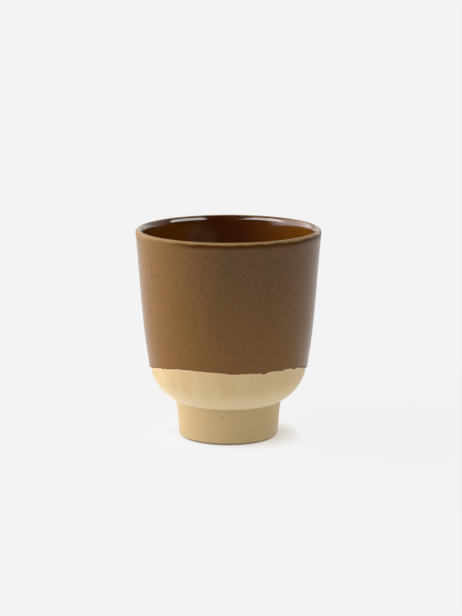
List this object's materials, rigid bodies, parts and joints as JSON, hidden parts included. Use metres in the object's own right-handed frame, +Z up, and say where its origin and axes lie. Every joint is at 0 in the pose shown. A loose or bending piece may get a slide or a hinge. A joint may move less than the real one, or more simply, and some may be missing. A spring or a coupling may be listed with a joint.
{
  "type": "handleless cup",
  "caption": "Handleless stoneware cup on a tall hollow foot ring, glazed inside and dipped in brown glaze outside down to a wandering line, with bare clay below.",
  "frame": {"origin": "centre of the face that the foot stands on", "axes": "+Z up along the cup's axis, -Y towards the front, where the glaze line is highest"},
  "size_m": [0.0798, 0.08, 0.091],
  "materials": {
    "stoneware": "unglazed, fine and slightly gritty",
    "slip": "unglazed, smoothed",
    "liner_glaze": "glossy",
    "lip_glaze": "glossy, thin on the crest",
    "outer_glaze": "satin, faintly speckled"
  },
  "bodies": {
    "root": {"bowl": "stoneware", "foot_ring": "stoneware", "luting_slip": "slip", "liner_glaze": "liner_glaze", "lip_glaze": "lip_glaze", "outer_glaze": "outer_glaze"}
  },
  "joints": []
}
